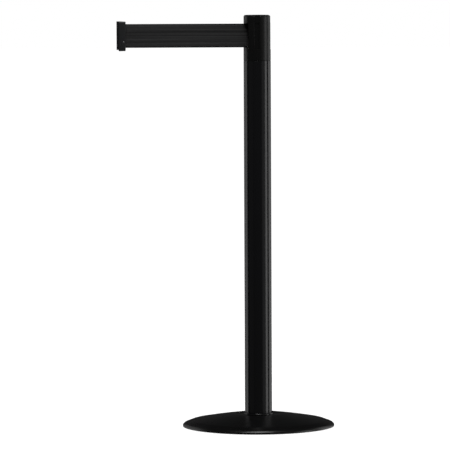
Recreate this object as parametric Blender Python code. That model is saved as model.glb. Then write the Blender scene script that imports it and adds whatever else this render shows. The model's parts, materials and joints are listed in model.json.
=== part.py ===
"""Retractable belt stanchion: a weighted round base, a post, and a head that holds a sprung belt spool.

Metres, +Z up. The origin lies on the floor, on the post's axis; the belt leaves the head towards -X.
"""

import math

import bmesh
import bpy
from mathutils import Matrix, Vector

MM = 0.001

# Overall sizes
HEIGHT = 965.0 * MM
POST_RADIUS = 31.75 * MM
POST_WALL = 1.8 * MM
BASE_RADIUS = 177.8 * MM
HEAD_HEIGHT = 106.0 * MM
CAP_HEIGHT = 18.2 * MM
GAP = 0.3 * MM

# Base
PAD_THICKNESS = 2.0 * MM
PAD_INSET = 6.0 * MM
COVER_LIFT = 1.0 * MM
COVER_WALL = 1.8 * MM
RIM_HEIGHT = 1.9 * MM
BROW_DROP = 21.1 * MM
BROW_HEIGHT = 15.1 * MM
CREST_RADIUS = 57.4 * MM
CONE_SLOPE = 0.156
DISH_DEPTH = 2.7 * MM
DISH_REACH = 9.0 * MM
DISH_RISE = 0.62
TRIM_SEAT = 1.5 * MM
BROW_CURVE = (
    (10.7 * MM, 4.3 * MM), (6.7 * MM, 6.0 * MM), (3.3 * MM, 7.6 * MM), (1.4 * MM, 8.8 * MM))
WEIGHT_SPACE = 1.2 * MM
BOSS_RADIUS = 50.0 * MM
TRIM_HEIGHT = 4.0 * MM
TRIM_RADIAL = 2.6 * MM
SPIGOT_LENGTH = 28.0 * MM
SPIGOT_FLANGE = 2.0 * MM

# Tie rod
ROD_RADIUS = 5.0 * MM
NUT_ACROSS_FLATS = 17.0 * MM
NUT_HEIGHT = 8.0 * MM
WASHER_RADIUS = 10.5 * MM
WASHER_THICKNESS = 2.0 * MM
ROD_RECESS_RADIUS = 14.0 * MM
ROD_BEYOND_NUT = 1.0 * MM
NUT_ROOM = 1.0 * MM
ROD_TOP_DROP = 8.0 * MM

# Belt, and the roll that it makes on the spool
BELT_WIDTH = 55.5 * MM
BELT_THICKNESS = 0.8 * MM
WOUND_THICKNESS = 0.5 * MM
BELT_LENGTH = 2.3
BELT_DROP = 20.0 * MM
BELT_SHOWN = 0.307
HUB_RADIUS = 8.0 * MM

# Head
HEAD_SKIRT = 7.0 * MM
HEAD_FLOOR = 4.0 * MM
CAVITY_RADIUS = POST_RADIUS - 8.25 * MM
MOUTH_HALF = POST_RADIUS - 7.75 * MM
MOUTH_DEPTH = 16.75 * MM
MOUTH_MARGIN = 0.6 * MM
ADAPTOR_LENGTH = 30.0 * MM
CAP_PROUD = 0.35 * MM
CAP_CHAMFER = 2.0 * MM
CAP_ROOF = 4.5 * MM
LID_RADIUS = CAVITY_RADIUS + 1.4 * MM
LID_THICKNESS = 1.8 * MM

# Receiver slots, each a neck with a wider chamber behind it
SLOT_NECK = 12.0 * MM
SLOT_CHAMBER = 20.0 * MM
SLOT_BACK = POST_RADIUS - 5.35 * MM
SLOT_DEPTH = 2.5 * MM

# Spool
FLANGE_RADIUS = CAVITY_RADIUS - 0.9 * MM
LOWER_FLANGE = 1.8 * MM
UPPER_FLANGE = 1.2 * MM
HUB_NECK_RADIUS = 6.0 * MM
HUB_NECK_RISE = 1.0 * MM
BUSH_RADIUS = 4.9 * MM
BUSH_LENGTH = 5.0 * MM
SPINDLE_RADIUS = 3.0 * MM
ARBOR_RADIUS = 4.6 * MM
RUNNING = 0.15 * MM
CASE_WALL = 1.6 * MM
CASE_LIFT = 1.0 * MM
SPRING_THICKNESS = 0.5 * MM
SPRING_TURNS = 6.0
SPRING_STEPS = 14

# Brake, above the spool
CARRIER_THICKNESS = 1.2 * MM
DRUM_OUTER = LID_RADIUS - 3.1 * MM
DRUM_INNER = DRUM_OUTER - 2.4 * MM
DRUM_HEIGHT = 8.0 * MM
SHOE_HEIGHT = 4.0 * MM
SHOE_OUTER = DRUM_INNER - 1.0 * MM
SHOE_INNER = SHOE_OUTER - 5.8 * MM
SHOE_SWEEP = 118.0
SHOE_PIVOT = SHOE_OUTER - 3.2 * MM
SHOE_PIN_RADIUS = 1.2 * MM
PIVOT_LUG = 2.9 * MM
GROOVE_DEPTH = 0.9 * MM
GROOVE_WIDTH = 1.3 * MM
SPINDLE_CLIP_THICKNESS = 0.7 * MM
SPINDLE_CLIP_REACH = 2.2 * MM
SPINDLE_CLIP_HALF_SWEEP = 2.3
SPINDLE_ABOVE_SHOE = 1.0 * MM
SPINDLE_FOOT_LIFT = 0.5 * MM

# Guide pin, and the clip at the belt's end
GUIDE_RADIUS = 2.2 * MM
GUIDE_OFFSET = POST_RADIUS - 5.75 * MM
GUIDE_BELOW = 7.5 * MM
GUIDE_IN_CAP = 2.5 * MM
GUIDE_END_ROOM = 0.5 * MM
BELT_WRAP = 50.0
BELT_LOOP = 290.0
CLIP_LENGTH = 16.3 * MM
CLIP_DEPTH = 20.0 * MM
CLIP_ABOVE = 6.6 * MM
CLIP_BELOW = 7.8 * MM
CLIP_TAPER = 1.0 * MM
NECK_LENGTH = 3.1 * MM
FLANGE_PLATE = 1.6 * MM
FLANGE_BELOW = 4.5 * MM
CLIP_PIN_RADIUS = 1.5 * MM
CLIP_PIN_SETBACK = 5.5 * MM
CLIP_PIN_BELOW = 5.0 * MM
CLIP_PIN_ABOVE = 3.5 * MM
CLIP_EDGE = 1.6 * MM
BELT_SLOT_HALF = 3.0 * MM
BELT_SLOT_ROOM = 0.5 * MM
TONGUE_DROP = 0.2 * MM
TONGUE_ROOT = 2.0 * MM
TONGUE_NECK_ROOM = 0.5 * MM
TONGUE_PLATE_ROOM = 0.7 * MM
CLIP_SCREW_RADIUS = 1.2 * MM
CLIP_SCREW_HEAD = 2.0 * MM
CLIP_SCREW_HEAD_HEIGHT = 1.2 * MM
CLIP_SCREW_SETBACK = 3.8 * MM
CLIP_SCREW_LEVEL = 0.25
CLIP_SCREW_END = 0.6 * MM

# Fixings
SCREW_ANGLES = (45.0, 116.0, -116.0, -45.0)
CAP_SCREW_CIRCLE = POST_RADIUS - 4.55 * MM
CAP_SCREW_RADIUS = 1.4 * MM
CAP_SCREW_HEAD = 2.4 * MM
CAP_SCREW_LENGTH = 30.0 * MM
CAP_SCREW_SEAT = 3.2 * MM
ADAPTOR_SCREW_CIRCLE = 17.0 * MM
ADAPTOR_SCREW_RADIUS = 2.0 * MM
ADAPTOR_SCREW_HEAD = 3.6 * MM
ADAPTOR_SCREW_LENGTH = 12.0 * MM
ADAPTOR_SCREW_SEAT = 2.2 * MM
ADAPTOR_CROWN = 5.0 * MM

# Heights that several pieces share
CAP_BOTTOM = HEIGHT - CAP_HEIGHT
HEAD_BOTTOM = HEIGHT - HEAD_HEIGHT
HEAD_TOP = CAP_BOTTOM - GAP
TUBE_TOP = HEAD_BOTTOM - GAP
FLOOR_UNDER = HEAD_BOTTOM + HEAD_SKIRT
FLOOR_TOP = FLOOR_UNDER + HEAD_FLOOR
BELT_TOP = HEIGHT - BELT_DROP
BELT_BOTTOM = BELT_TOP - BELT_WIDTH
TUBE_BORE = POST_RADIUS - POST_WALL
CREST_HEIGHT = BROW_HEIGHT + CONE_SLOPE * (BASE_RADIUS - BROW_DROP - CREST_RADIUS)
DISH_HEIGHT = CREST_HEIGHT - DISH_DEPTH
SPIGOT_BASE = DISH_HEIGHT - COVER_WALL - WEIGHT_SPACE
TUBE_BOTTOM = SPIGOT_BASE + SPIGOT_FLANGE + GAP
SLOT_FLOOR = BELT_BOTTOM - FLANGE_BELOW - GAP
FLANGE_TOP = BELT_BOTTOM - GAP
FLANGE_BOTTOM = FLANGE_TOP - LOWER_FLANGE
CASE_BOTTOM = FLOOR_TOP + CASE_LIFT
CASE_TOP = FLANGE_BOTTOM - GAP
UPPER_BOTTOM = BELT_TOP + GAP
UPPER_TOP = UPPER_BOTTOM + UPPER_FLANGE
LID_TOP = CAP_BOTTOM + LID_THICKNESS
HUB_TOP = LID_TOP + HUB_NECK_RISE
CARRIER_BOTTOM = HUB_TOP + GAP
CARRIER_TOP = CARRIER_BOTTOM + CARRIER_THICKNESS
SHOE_BOTTOM = CARRIER_TOP + GAP
SHOE_TOP = SHOE_BOTTOM + SHOE_HEIGHT
SPINDLE_TOP = SHOE_TOP + SPINDLE_ABOVE_SHOE
ROLL_RADIUS = math.sqrt(
    HUB_RADIUS**2 + (BELT_LENGTH - BELT_SHOWN) * WOUND_THICKNESS / math.pi)
CLIP_FACE = -BELT_SHOWN
CLIP_BACK = CLIP_FACE - CLIP_LENGTH
CLIP_TOP = BELT_TOP + CLIP_ABOVE
CLIP_BOTTOM = BELT_BOTTOM - CLIP_BELOW

SMOOTH_ANGLE = math.radians(35)
ROUND = 32
LARGE_ROUND = 56
SMALL_ROUND = 12
ARC_STEPS = 16
END_STEPS = 6
WRAP_STEPS = 8
LOOP_STEPS = 20
REACH = 20.0 * MM

materials = {}


def clearScene():
    for thing in list(bpy.data.objects):
        bpy.data.objects.remove(thing, do_unlink=True)


def material(name, colour, roughness, metallic=0.0):
    """One Principled material for each name, made the first time it is asked for."""
    if name not in materials:
        made = bpy.data.materials.new(name)
        made.use_nodes = True
        shader = made.node_tree.nodes["Principled BSDF"]
        shader.inputs["Base Color"].default_value = (*colour, 1.0)
        shader.inputs["Roughness"].default_value = roughness
        shader.inputs["Metallic"].default_value = metallic
        materials[name] = made
    return materials[name]


def powderCoat():
    return material("powder_coat", (0.012, 0.012, 0.014), 0.35)


def blackPlastic():
    return material("black_plastic", (0.018, 0.018, 0.019), 0.42)


def webbing():
    return material("webbing", (0.016, 0.016, 0.017), 0.85)


def darkRubber():
    return material("dark_rubber", (0.02, 0.02, 0.02), 0.8)


def castIron():
    return material("cast_iron", (0.07, 0.07, 0.075), 0.6, 0.8)


def zincSteel():
    return material("zinc_steel", (0.55, 0.55, 0.56), 0.35, 1.0)


def springSteel():
    return material("spring_steel", (0.3, 0.31, 0.34), 0.3, 1.0)


def whiteNylon():
    return material("white_nylon", (0.75, 0.74, 0.7), 0.45)


def finish(name, mesh, look, cutter=False):
    """Links a mesh as a named object; a cutter is a wire guide that is never rendered."""
    mesh.normal_update()
    data = bpy.data.meshes.new(name)
    mesh.to_mesh(data)
    mesh.free()
    thing = bpy.data.objects.new(name, data)
    bpy.context.scene.collection.objects.link(thing)
    if cutter:
        thing.hide_render = True
        thing.display_type = "WIRE"
    else:
        data.materials.append(look)
        data.shade_smooth()
        data.set_sharp_from_angle(angle=SMOOTH_ANGLE)
    return thing


def turned(name, profile, look=None, centre=(0.0, 0.0), sides=ROUND, cutter=False):
    """Spins a closed (radius, height) outline, listed anticlockwise, about an upright axis."""
    mesh = bmesh.new()
    rings = []
    for radius, height in profile:
        if radius == 0.0:
            rings.append([mesh.verts.new((*centre, height))] * sides)
            continue
        ring = []
        for step in range(sides):
            angle = 2 * math.pi * step / sides
            ring.append(mesh.verts.new((
                centre[0] + radius * math.cos(angle),
                centre[1] + radius * math.sin(angle), height)))
        rings.append(ring)
    for index, ring in enumerate(rings):
        after = rings[(index + 1) % len(rings)]
        for step in range(sides):
            following = (step + 1) % sides
            corners = []
            for corner in (ring[step], ring[following], after[following], after[step]):
                if corner not in corners:
                    corners.append(corner)
            if len(corners) > 2:
                mesh.faces.new(corners)
    return finish(name, mesh, look, cutter)


def cylinder(name, radius, low, high, look=None, **options):
    outline = [(0.0, low), (radius, low), (radius, high), (0.0, high)]
    return turned(name, outline, look, **options)


def ring(name, inner, outer, low, high, look=None, **options):
    outline = [(inner, low), (outer, low), (outer, high), (inner, high)]
    return turned(name, outline, look, **options)


def prism(name, outline, low, high, look=None, cutter=False):
    """Raises a flat anticlockwise (x, y) outline from one height to another."""
    mesh = bmesh.new()
    bottom = [mesh.verts.new((x, y, low)) for x, y in outline]
    top = [mesh.verts.new((x, y, high)) for x, y in outline]
    mesh.faces.new(bottom[::-1])
    mesh.faces.new(top)
    for index in range(len(outline)):
        after = (index + 1) % len(outline)
        mesh.faces.new((bottom[index], bottom[after], top[after], top[index]))
    mesh.normal_update()
    bmesh.ops.triangulate(mesh, faces=[face for face in mesh.faces if len(face.verts) > 4])
    return finish(name, mesh, look, cutter)


def box(name, low, high, look=None, cutter=False):
    outline = [(low[0], low[1]), (high[0], low[1]), (high[0], high[1]), (low[0], high[1])]
    return prism(name, outline, low[2], high[2], look, cutter)


def cut(thing, *cutters, operation="DIFFERENCE"):
    for cutter in cutters:
        boolean = thing.modifiers.new(cutter.name, "BOOLEAN")
        boolean.operation = operation
        boolean.object = cutter


def polar(radius, degrees):
    angle = math.radians(degrees)
    return radius * math.cos(angle), radius * math.sin(angle)


def arc(centre, radius, start, end, steps):
    """Points on a circle from one angle to another, in radians, both ends included."""
    return [
        Vector(centre) + radius * Vector((math.cos(angle), math.sin(angle)))
        for angle in (start + (end - start) * step / steps for step in range(steps + 1))]


def strip(path, thickness):
    """The closed outline of a band of even thickness along a flat path."""
    left, right = [], []
    for index, point in enumerate(path):
        before = path[max(index - 1, 0)]
        after = path[min(index + 1, len(path) - 1)]
        along = (after - before).normalized()
        across = Vector((-along.y, along.x)) * thickness / 2
        left.append(point + across)
        right.append(point - across)
    return [tuple(point) for point in right + left[::-1]]


def coverProfile(inset):
    """Outside line of the base cover, from the dish out to the rim, moved inwards by inset."""
    brow = BASE_RADIUS - BROW_DROP
    line = [
        (POST_RADIUS + GAP + TRIM_RADIAL + TRIM_SEAT, DISH_HEIGHT),
        (CREST_RADIUS - DISH_REACH, DISH_HEIGHT + DISH_RISE * DISH_DEPTH),
        (CREST_RADIUS, CREST_HEIGHT),
        (brow, BROW_HEIGHT),
        *((BASE_RADIUS - inwards, BROW_HEIGHT - drop) for inwards, drop in BROW_CURVE),
        (BASE_RADIUS, COVER_LIFT + RIM_HEIGHT)]
    points = [Vector(point) for point in line]
    moved = []
    for index, point in enumerate(points):
        before = points[max(index - 1, 0)]
        after = points[min(index + 1, len(points) - 1)]
        along = (after - before).normalized()
        moved.append(point + Vector((along.y, -along.x)) * inset)
    moved[0].x = points[0].x
    return [tuple(point) for point in moved]


def makeFloorPad():
    cylinder("floor_pad", BASE_RADIUS - PAD_INSET, 0.0, PAD_THICKNESS, darkRubber(),
             sides=LARGE_ROUND)


def makeBaseCover():
    hole = POST_RADIUS + GAP
    outside = coverProfile(0.0)
    inside = coverProfile(COVER_WALL)
    rim = BASE_RADIUS - COVER_WALL
    outline = (
        [(rim, COVER_LIFT), (BASE_RADIUS, COVER_LIFT)]
        + outside[::-1]
        + [(hole, DISH_HEIGHT), (hole, DISH_HEIGHT - COVER_WALL)]
        + inside[:-1]
        + [(rim, COVER_LIFT + RIM_HEIGHT)])
    turned("base_cover", outline, powderCoat(), sides=LARGE_ROUND)


def makeBaseWeight():
    """Cast weight that follows the cover from inside, bored for the rod and recessed for its nut."""
    low = PAD_THICKNESS + GAP
    bore = ROD_RADIUS + GAP
    roof = low + NUT_HEIGHT + WASHER_THICKNESS + 2 * GAP + NUT_ROOM
    under = coverProfile(COVER_WALL + WEIGHT_SPACE)[2:-3]
    edge = under[-1][0]
    outline = (
        [(ROD_RECESS_RADIUS, low), (edge, low)]
        + under[::-1]
        + [(BOSS_RADIUS, SPIGOT_BASE - GAP), (bore, SPIGOT_BASE - GAP), (bore, roof),
           (ROD_RECESS_RADIUS, roof)])
    turned("base_weight", outline, castIron(), sides=LARGE_ROUND)
    return roof


def makeTieRod(roof):
    washerLow = roof - GAP - WASHER_THICKNESS
    nutLow = washerLow - GAP - NUT_HEIGHT
    hole = ROD_RADIUS + GAP
    cylinder("tie_rod", ROD_RADIUS, nutLow + ROD_BEYOND_NUT, FLOOR_UNDER - ROD_TOP_DROP,
             zincSteel(), sides=SMALL_ROUND)
    ring("tie_rod_washer", hole, WASHER_RADIUS, washerLow, washerLow + WASHER_THICKNESS,
         zincSteel(), sides=SMALL_ROUND)
    across = NUT_ACROSS_FLATS / math.sqrt(3)
    corners = [polar(across, 60.0 * side) for side in range(6)]
    nut = prism("tie_rod_nut", corners, nutLow, nutLow + NUT_HEIGHT, zincSteel())
    bore = cylinder("nut_bore", hole, nutLow - REACH, nutLow + NUT_HEIGHT + REACH,
                    sides=SMALL_ROUND, cutter=True)
    cut(nut, bore)


def makeFootSpigot():
    outline = [
        (ROD_RADIUS + GAP, SPIGOT_BASE), (POST_RADIUS - GAP, SPIGOT_BASE),
        (POST_RADIUS - GAP, SPIGOT_BASE + SPIGOT_FLANGE),
        (TUBE_BORE - GAP, SPIGOT_BASE + SPIGOT_FLANGE),
        (TUBE_BORE - GAP, SPIGOT_BASE + SPIGOT_LENGTH),
        (ROD_RADIUS + GAP, SPIGOT_BASE + SPIGOT_LENGTH)]
    turned("foot_spigot", outline, blackPlastic())


def makePostTube():
    ring("post_tube", TUBE_BORE, POST_RADIUS, TUBE_BOTTOM, TUBE_TOP, powderCoat(),
         sides=LARGE_ROUND)


def makeFootTrim():
    inner = POST_RADIUS + GAP
    low = DISH_HEIGHT + GAP
    outline = [
        (inner, low), (inner + TRIM_RADIAL, low), (inner + TRIM_RADIAL, low + 0.4 * TRIM_HEIGHT),
        (inner + 0.8 * TRIM_RADIAL, low + 0.8 * TRIM_HEIGHT),
        (inner + 0.4 * TRIM_RADIAL, low + TRIM_HEIGHT), (inner, low + TRIM_HEIGHT)]
    turned("foot_trim", outline, powderCoat(), sides=LARGE_ROUND)


def makeHeadAdaptor():
    top = FLOOR_UNDER - GAP
    adaptor = cylinder("head_adaptor", TUBE_BORE - GAP, top - ADAPTOR_LENGTH, top, blackPlastic())
    threads = cylinder("adaptor_bore", ROD_RADIUS + GAP, top - ADAPTOR_LENGTH - REACH,
                       FLOOR_UNDER - ADAPTOR_CROWN, sides=SMALL_ROUND, cutter=True)
    cut(adaptor, threads)
    seat = FLOOR_TOP - ADAPTOR_SCREW_SEAT
    tip = seat + GAP - ADAPTOR_SCREW_LENGTH
    cutters = []
    for index, degrees in enumerate(SCREW_ANGLES):
        place = polar(ADAPTOR_SCREW_CIRCLE, degrees)
        head = ADAPTOR_SCREW_HEAD
        shank = ADAPTOR_SCREW_RADIUS
        outline = [
            (0.0, tip), (shank, tip), (shank, seat + GAP), (head, seat + GAP),
            (head, FLOOR_TOP - GAP), (0.0, FLOOR_TOP - GAP)]
        turned(f"adaptor_screw_{index + 1}", outline, zincSteel(), place, SMALL_ROUND)
        outline = [
            (0.0, tip - GAP), (shank + GAP, tip - GAP), (shank + GAP, seat), (head + GAP, seat),
            (head + GAP, FLOOR_TOP + GAP), (0.0, FLOOR_TOP + GAP)]
        hole = turned(f"adaptor_screw_hole_{index + 1}", outline, None, place, SMALL_ROUND, True)
        cut(adaptor, hole)
        cutters.append(hole)
    return cutters


def slotCutters(low, high, label):
    """T-shaped slots in the +X, +Y and -Y sides: a chamber, and a neck that opens it outwards."""
    chamber = SLOT_CHAMBER / 2
    neck = SLOT_NECK / 2
    front = SLOT_BACK + SLOT_DEPTH
    outline = [
        (SLOT_BACK, -chamber), (front, -chamber), (front, -neck), (POST_RADIUS + REACH, -neck),
        (POST_RADIUS + REACH, neck), (front, neck), (front, chamber), (SLOT_BACK, chamber)]
    cutters = []
    for index, degrees in enumerate((0.0, 90.0, -90.0)):
        turn = Matrix.Rotation(math.radians(degrees), 2)
        points = [tuple(turn @ Vector(point)) for point in outline]
        cutters.append(prism(f"{label}_slot_{index + 1}", points, low, high, cutter=True))
    return cutters


def capScrewHoles(low, seat, label):
    holes = []
    for index, degrees in enumerate(SCREW_ANGLES):
        place = polar(CAP_SCREW_CIRCLE, degrees)
        outline = [
            (0.0, low), (CAP_SCREW_RADIUS + GAP, low), (CAP_SCREW_RADIUS + GAP, seat),
            (CAP_SCREW_HEAD + GAP, seat), (CAP_SCREW_HEAD + GAP, seat + REACH),
            (0.0, seat + REACH)]
        holes.append(turned(f"{label}_{index + 1}", outline, None, place, SMALL_ROUND, True))
    return holes


def guideHole(label, low, high):
    return cylinder(label, GUIDE_RADIUS + GAP, low, high, centre=guideCentre(),
                    sides=SMALL_ROUND, cutter=True)


def guideCentre():
    return -GUIDE_OFFSET, GUIDE_RADIUS + GAP + BELT_THICKNESS / 2


def makeHeadBody(adaptorHoles):
    """Round shell with a floor, open at the top, with three receiver slots and the belt's mouth."""
    bore = TUBE_BORE
    outline = [
        (bore, HEAD_BOTTOM), (POST_RADIUS, HEAD_BOTTOM), (POST_RADIUS, HEAD_TOP),
        (CAVITY_RADIUS, HEAD_TOP), (CAVITY_RADIUS, FLOOR_TOP), (SPINDLE_RADIUS + GAP, FLOOR_TOP),
        (SPINDLE_RADIUS + GAP, FLOOR_UNDER), (bore, FLOOR_UNDER)]
    body = turned("head_body", outline, blackPlastic(), sides=LARGE_ROUND)
    mouth = box(
        "mouth", (-POST_RADIUS - REACH, -MOUTH_HALF, BELT_BOTTOM - MOUTH_MARGIN),
        (MOUTH_DEPTH - POST_RADIUS, MOUTH_HALF, HEAD_TOP + REACH), cutter=True)
    cut(body, mouth)
    cut(body, *slotCutters(SLOT_FLOOR, HEAD_TOP + REACH, "body"))
    cut(body, *adaptorHoles)
    tip = HEIGHT - GAP - CAP_SCREW_LENGTH
    cut(body, *capScrewHoles(tip - GAP, HEAD_TOP + REACH, "body_screw_hole"))
    socket = BELT_BOTTOM - GUIDE_BELOW - GUIDE_END_ROOM
    cut(body, guideHole("body_guide_hole", socket, HEAD_TOP + REACH))


def makeHeadCap():
    radius = POST_RADIUS + CAP_PROUD
    recess = LID_RADIUS + GAP
    hollow = DRUM_OUTER + GAP
    roof = HEIGHT - CAP_ROOF
    outline = [
        (recess, CAP_BOTTOM), (radius, CAP_BOTTOM), (radius, HEIGHT - CAP_CHAMFER),
        (radius - 0.3 * CAP_CHAMFER, HEIGHT - 0.3 * CAP_CHAMFER),
        (radius - CAP_CHAMFER, HEIGHT), (0.0, HEIGHT), (0.0, roof), (hollow, roof),
        (hollow, LID_TOP + GAP), (recess, LID_TOP + GAP)]
    cap = turned("head_cap", outline, blackPlastic(), sides=LARGE_ROUND)
    cut(cap, mouthLip(recess + GAP), operation="UNION")
    cut(cap, *slotCutters(CAP_BOTTOM - REACH, HEIGHT + REACH, "cap"))
    seat = HEIGHT - CAP_SCREW_SEAT
    cut(cap, *capScrewHoles(CAP_BOTTOM - REACH, seat, "cap_screw_hole"))
    socket = CAP_BOTTOM + GUIDE_IN_CAP + GUIDE_END_ROOM
    cut(cap, guideHole("cap_guide_hole", CAP_BOTTOM - REACH, socket))
    for index, degrees in enumerate(SCREW_ANGLES):
        outline = [
            (0.0, HEIGHT - GAP - CAP_SCREW_LENGTH),
            (CAP_SCREW_RADIUS, HEIGHT - GAP - CAP_SCREW_LENGTH),
            (CAP_SCREW_RADIUS, seat + GAP), (CAP_SCREW_HEAD, seat + GAP),
            (CAP_SCREW_HEAD, HEIGHT - GAP), (0.0, HEIGHT - GAP)]
        turned(f"cap_screw_{index + 1}", outline, zincSteel(),
               polar(CAP_SCREW_CIRCLE, degrees), SMALL_ROUND)


def mouthLip(inner):
    """The part of the cap that reaches down into the top of the belt's mouth."""
    half = MOUTH_HALF - GAP
    edge = MOUTH_DEPTH - POST_RADIUS - GAP
    outerSweep = math.asin(half / POST_RADIUS)
    innerSweep = math.acos(-edge / inner)
    outer = arc((0.0, 0.0), POST_RADIUS, math.pi - outerSweep, math.pi + outerSweep, ARC_STEPS)
    back = arc((0.0, 0.0), inner, math.pi + innerSweep, math.pi - innerSweep, ARC_STEPS)
    outline = [tuple(point) for point in outer] + [(edge, -half)]
    outline += [tuple(point) for point in back] + [(edge, half)]
    return prism("mouth_lip", outline, BELT_TOP + MOUTH_MARGIN, CAP_BOTTOM + GAP, cutter=True)


def makeCassetteLid():
    lid = ring("cassette_lid", HUB_NECK_RADIUS + 2 * GAP, LID_RADIUS, CAP_BOTTOM, LID_TOP,
               blackPlastic())
    cut(lid, guideHole("lid_notch", CAP_BOTTOM - REACH, LID_TOP + REACH))


def makeGuidePin():
    cylinder("guide_pin", GUIDE_RADIUS, BELT_BOTTOM - GUIDE_BELOW, CAP_BOTTOM + GUIDE_IN_CAP,
             zincSteel(), centre=guideCentre(), sides=SMALL_ROUND)


def makeSpindle():
    """Fixed shaft: a foot in the head's floor, a thick arbor for the spring, a groove for the clip."""
    groove = CARRIER_TOP + GAP
    waist = SPINDLE_RADIUS - GROOVE_DEPTH
    foot = FLOOR_UNDER + SPINDLE_FOOT_LIFT
    outline = [
        (0.0, foot), (SPINDLE_RADIUS, foot),
        (SPINDLE_RADIUS, CASE_BOTTOM + CASE_WALL + GAP),
        (ARBOR_RADIUS, CASE_BOTTOM + CASE_WALL + GAP),
        (ARBOR_RADIUS, CASE_TOP - GAP), (SPINDLE_RADIUS, CASE_TOP - GAP),
        (SPINDLE_RADIUS, groove), (waist, groove),
        (waist, groove + GROOVE_WIDTH), (SPINDLE_RADIUS, groove + GROOVE_WIDTH),
        (SPINDLE_RADIUS, SPINDLE_TOP), (0.0, SPINDLE_TOP)]
    turned("spindle", outline, zincSteel())


def makeSpindleClip():
    low = CARRIER_TOP + 2 * GAP
    sweep = SPINDLE_CLIP_HALF_SWEEP
    inner = arc((0.0, 0.0), SPINDLE_RADIUS - GROOVE_DEPTH + GAP, -sweep, sweep, ARC_STEPS)
    outer = arc((0.0, 0.0), SPINDLE_RADIUS + SPINDLE_CLIP_REACH, -sweep, sweep, ARC_STEPS)
    outline = [tuple(point) for point in outer + inner[::-1]]
    prism("spindle_clip", outline, low, low + SPINDLE_CLIP_THICKNESS, springSteel())


def makeSpool():
    """Hub with a bush at each end, a flange at each side, and the wound belt between them."""
    clearance = SPINDLE_RADIUS + GAP
    pocket = BUSH_RADIUS + GAP
    lowPocket = FLANGE_BOTTOM + BUSH_LENGTH + GAP
    highPocket = HUB_TOP - BUSH_LENGTH - GAP
    hub = [
        (pocket, FLANGE_BOTTOM), (HUB_NECK_RADIUS, FLANGE_BOTTOM), (HUB_NECK_RADIUS, BELT_BOTTOM),
        (HUB_RADIUS, BELT_BOTTOM), (HUB_RADIUS, BELT_TOP), (HUB_NECK_RADIUS, BELT_TOP),
        (HUB_NECK_RADIUS, HUB_TOP), (pocket, HUB_TOP), (pocket, highPocket),
        (clearance, highPocket), (clearance, lowPocket), (pocket, lowPocket)]
    turned("spool_hub", hub, whiteNylon())
    shaft = SPINDLE_RADIUS + RUNNING
    ring("spool_bush_lower", shaft, BUSH_RADIUS, lowPocket - GAP - BUSH_LENGTH, lowPocket - GAP,
         zincSteel())
    ring("spool_bush_upper", shaft, BUSH_RADIUS, highPocket + GAP, highPocket + GAP + BUSH_LENGTH,
         zincSteel())
    hole = HUB_NECK_RADIUS + GAP
    ring("spool_lower_flange", hole, FLANGE_RADIUS, FLANGE_BOTTOM, FLANGE_TOP, whiteNylon())
    ring("spool_upper_flange", hole, FLANGE_RADIUS, UPPER_BOTTOM, UPPER_TOP, whiteNylon())
    ring("belt_roll", HUB_RADIUS + GAP, ROLL_RADIUS, BELT_BOTTOM, BELT_TOP, webbing())


def makeSpringCase():
    outline = [
        (ARBOR_RADIUS + GAP, CASE_BOTTOM), (FLANGE_RADIUS, CASE_BOTTOM), (FLANGE_RADIUS, CASE_TOP),
        (FLANGE_RADIUS - CASE_WALL, CASE_TOP),
        (FLANGE_RADIUS - CASE_WALL, CASE_BOTTOM + CASE_WALL),
        (ARBOR_RADIUS + GAP, CASE_BOTTOM + CASE_WALL)]
    turned("spring_case", outline, whiteNylon())


def makePowerSpring():
    """Flat coil of strip steel from the arbor out to the case wall."""
    inner = ARBOR_RADIUS + GAP + SPRING_THICKNESS
    outer = FLANGE_RADIUS - CASE_WALL - GAP - SPRING_THICKNESS
    steps = int(SPRING_TURNS * SPRING_STEPS)
    path = []
    for step in range(steps + 1):
        share = step / steps
        path.append(Vector(polar(inner + (outer - inner) * share, 360.0 * SPRING_TURNS * share)))
    prism("power_spring", strip(path, SPRING_THICKNESS), CASE_BOTTOM + CASE_WALL + GAP,
          CASE_TOP - GAP, springSteel())


def makeBrake():
    """Carrier on the hub with two shoes on pins, inside a fixed drum."""
    ring("brake_carrier", SPINDLE_RADIUS + GAP, SHOE_PIVOT + PIVOT_LUG - GAP, CARRIER_BOTTOM,
         CARRIER_TOP, zincSteel())
    ring("brake_drum", DRUM_INNER, DRUM_OUTER, LID_TOP + GAP, LID_TOP + GAP + DRUM_HEIGHT,
         zincSteel())
    middle = (SHOE_OUTER + SHOE_INNER) / 2
    half = (SHOE_OUTER - SHOE_INNER) / 2
    for index, side in enumerate((0.0, 180.0)):
        pivot = polar(SHOE_PIVOT, side)
        cylinder(f"brake_pin_{index + 1}", SHOE_PIN_RADIUS, SHOE_BOTTOM, SHOE_TOP, zincSteel(),
                 centre=pivot, sides=SMALL_ROUND)
        first = math.radians(side)
        last = math.radians(side + SHOE_SWEEP)
        outer = arc((0.0, 0.0), SHOE_OUTER, first, last, SMALL_ROUND)
        tip = arc(polar(middle, side + SHOE_SWEEP), half, last, last + math.pi, END_STEPS)[1:-1]
        inner = arc((0.0, 0.0), SHOE_INNER, last, first, SMALL_ROUND)
        heel = arc(polar(middle, side), half, first + math.pi, first + 2 * math.pi,
                   END_STEPS)[1:-1]
        outline = [tuple(point) for point in outer + tip + inner + heel]
        shoe = prism(f"brake_shoe_{index + 1}", outline, SHOE_BOTTOM, SHOE_TOP, darkRubber())
        hole = cylinder(f"shoe_hole_{index + 1}", SHOE_PIN_RADIUS + GAP, SHOE_BOTTOM - REACH,
                        SHOE_TOP + REACH, centre=pivot, sides=SMALL_ROUND, cutter=True)
        cut(shoe, hole)


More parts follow.
